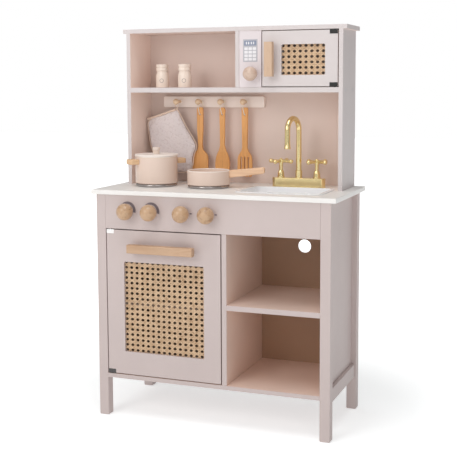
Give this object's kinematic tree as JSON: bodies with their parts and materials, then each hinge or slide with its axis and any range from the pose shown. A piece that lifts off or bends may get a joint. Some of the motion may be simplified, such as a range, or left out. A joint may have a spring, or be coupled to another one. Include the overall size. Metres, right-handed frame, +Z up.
{
  "type": "toy play kitchen",
  "caption": "Wooden toy kitchen with an oven and a microwave behind woven cane doors, an open shelf bay, a sink with a gold faucet, a hob, a hutch and hanging utensils.",
  "frame": {"origin": "on the floor under the centre of the bounding box", "axes": "+Z up, -Y towards the child at the front, +X to the right seen from the front"},
  "size_m": [0.6, 0.318, 0.933],
  "materials": {
    "cabinet_paint": "satin blush-grey paint over wood and fibreboard",
    "hutch_paint": "satin pale blush paint over wood and fibreboard",
    "worktop_paint": "satin white paint over fibreboard",
    "sink_plastic": "smooth white moulding",
    "hob_metal": "dark silver moulding",
    "label": "thin printed sticker",
    "light_wood": "sanded beech, clear matt finish",
    "magnet_plastic": "white moulded holder with a magnet",
    "steel_hardware": "zinc-plated steel",
    "black_hardware": "black painted steel",
    "gold_metal": "satin gold",
    "woven_cane": "open six-way cane weave",
    "cream_paint": "satin cream-blush paint over turned wood",
    "utensil_wood": "oiled bamboo-coloured wood",
    "quilted_cotton": "quilted grey-white cotton with a light binding",
    "turned_wood": "pale turned wood, matt"
  },
  "bodies": {
    "cabinet": {"leg_front_left": "cabinet_paint", "leg_front_right": "cabinet_paint", "leg_rear_left": "cabinet_paint", "leg_rear_right": "cabinet_paint", "side_panel_left": "cabinet_paint", "side_panel_right": "cabinet_paint", "side_rails": "cabinet_paint", "bottom_panel": "cabinet_paint", "centre_divider": "cabinet_paint", "bay_shelf": "cabinet_paint", "oven_shelf": "cabinet_paint", "front_fascia": "cabinet_paint", "lower_back_panel": "cabinet_paint", "worktop": "worktop_paint", "sink_basin": "sink_plastic", "hob_rings": "hob_metal", "hutch_side_left": "hutch_paint", "hutch_side_right": "hutch_paint", "hutch_top": "hutch_paint", "hutch_shelf": "hutch_paint", "hutch_divider": "hutch_paint", "hutch_back_panel": "hutch_paint", "control_panel": "hutch_paint", "keypad_label": "label", "hook_rail": "hutch_paint", "hook_pegs": "light_wood", "door_magnets": "magnet_plastic", "screws": "steel_hardware", "faucet_base": "gold_metal"},
    "oven_door": {"oven_door_frame": "cabinet_paint", "oven_door_cane": "woven_cane", "oven_door_bead": "cabinet_paint", "oven_door_handle": "light_wood", "oven_door_hardware": "steel_hardware"},
    "microwave_door": {"microwave_door_frame": "hutch_paint", "microwave_door_cane": "woven_cane", "microwave_door_bead": "hutch_paint", "microwave_door_handle": "light_wood", "microwave_door_hardware": "black_hardware"},
    "knob_1": {"stove_knob_1": "light_wood"},
    "knob_2": {"stove_knob_2": "light_wood"},
    "knob_3": {"stove_knob_3": "light_wood"},
    "knob_4": {"stove_knob_4": "light_wood"},
    "timer_knob": {"microwave_knob": "light_wood"},
    "spout": {"faucet_spout": "gold_metal"},
    "tap_left": {"faucet_handle_left": "gold_metal"},
    "tap_right": {"faucet_handle_right": "gold_metal"},
    "pot": {"pot_body": "cream_paint", "pot_handles": "light_wood"},
    "lid": {"pot_lid": "cream_paint", "lid_knob": "light_wood"},
    "pan": {"pan_body": "cream_paint", "pan_handle": "light_wood"},
    "spatula": {"spatula": "utensil_wood"},
    "spoon": {"spoon": "utensil_wood"},
    "fork": {"fork": "utensil_wood"},
    "mitt": {"oven_mitt": "quilted_cotton"},
    "shaker_left": {"shaker_left": "turned_wood"},
    "shaker_right": {"shaker_right": "turned_wood"}
  },
  "joints": [
    {"name": "oven_door_hinge", "type": "hinge", "parent": "cabinet", "child": "oven_door", "pos_m": [-0.2535, -0.11348, 0.28], "axis": [0, 0, -1], "range_deg": [0, 105]},
    {"name": "microwave_door_hinge", "type": "hinge", "parent": "cabinet", "child": "microwave_door", "pos_m": [0.2545, 0.03152, 0.8565], "axis": [0, 0, 1], "range_deg": [0, 105]},
    {"name": "knob_1_turn", "type": "hinge", "parent": "cabinet", "child": "knob_1", "pos_m": [-0.203, -0.14048, 0.502], "axis": [0, 1, 0], "continuous": true},
    {"name": "knob_2_turn", "type": "hinge", "parent": "cabinet", "child": "knob_2", "pos_m": [-0.142, -0.14048, 0.502], "axis": [0, 1, 0], "continuous": true},
    {"name": "knob_3_turn", "type": "hinge", "parent": "cabinet", "child": "knob_3", "pos_m": [-0.061, -0.14048, 0.502], "axis": [0, 1, 0], "continuous": true},
    {"name": "knob_4_turn", "type": "hinge", "parent": "cabinet", "child": "knob_4", "pos_m": [0.001, -0.14048, 0.502], "axis": [0, 1, 0], "continuous": true},
    {"name": "timer_knob_turn", "type": "hinge", "parent": "cabinet", "child": "timer_knob", "pos_m": [0.0555, 0.00752, 0.822], "axis": [0, 1, 0], "continuous": true},
    {"name": "spout_swivel", "type": "hinge", "parent": "cabinet", "child": "spout", "pos_m": [0.1525, 0.08652, 0.58], "axis": [0, 0, 1], "range_deg": [-83, 107]},
    {"name": "tap_left_turn", "type": "hinge", "parent": "cabinet", "child": "tap_left", "pos_m": [0.1075, 0.08652, 0.59], "axis": [0, 0, 1], "continuous": true},
    {"name": "tap_right_turn", "type": "hinge", "parent": "cabinet", "child": "tap_right", "pos_m": [0.1975, 0.08652, 0.59], "axis": [0, 0, 1], "continuous": true},
    {"name": "pot_lift", "type": "slide", "parent": "cabinet", "child": "pot", "axis": [0, -0.6, 0.8], "range_m": [0, 0.16]},
    {"name": "lid_lift", "type": "slide", "parent": "pot", "child": "lid", "axis": [0, 0, 1], "range_m": [0, 0.06]},
    {"name": "pan_lift", "type": "slide", "parent": "cabinet", "child": "pan", "axis": [0, -0.6, 0.8], "range_m": [0, 0.16]},
    {"name": "spatula_swing", "type": "hinge", "parent": "cabinet", "child": "spatula", "pos_m": [-0.118, 0.11752, 0.754], "axis": [0, 1, 0], "range_deg": [-5, 5]},
    {"name": "spoon_swing", "type": "hinge", "parent": "cabinet", "child": "spoon", "pos_m": [-0.058, 0.11752, 0.754], "axis": [0, 1, 0], "range_deg": [-5, 5]},
    {"name": "fork_swing", "type": "hinge", "parent": "cabinet", "child": "fork", "pos_m": [0.002, 0.11752, 0.754], "axis": [0, 1, 0], "range_deg": [-5, 5]},
    {"name": "mitt_swing", "type": "hinge", "parent": "cabinet", "child": "mitt", "pos_m": [-0.178, 0.11152, 0.754], "axis": [0, 1, 0], "range_deg": [-4, 4]},
    {"name": "shaker_left_lift", "type": "slide", "parent": "cabinet", "child": "shaker_left", "axis": [0, -0.96, 0.28], "range_m": [0, 0.12]},
    {"name": "shaker_right_lift", "type": "slide", "parent": "cabinet", "child": "shaker_right", "axis": [0, -0.96, 0.28], "range_m": [0, 0.12]}
  ]
}
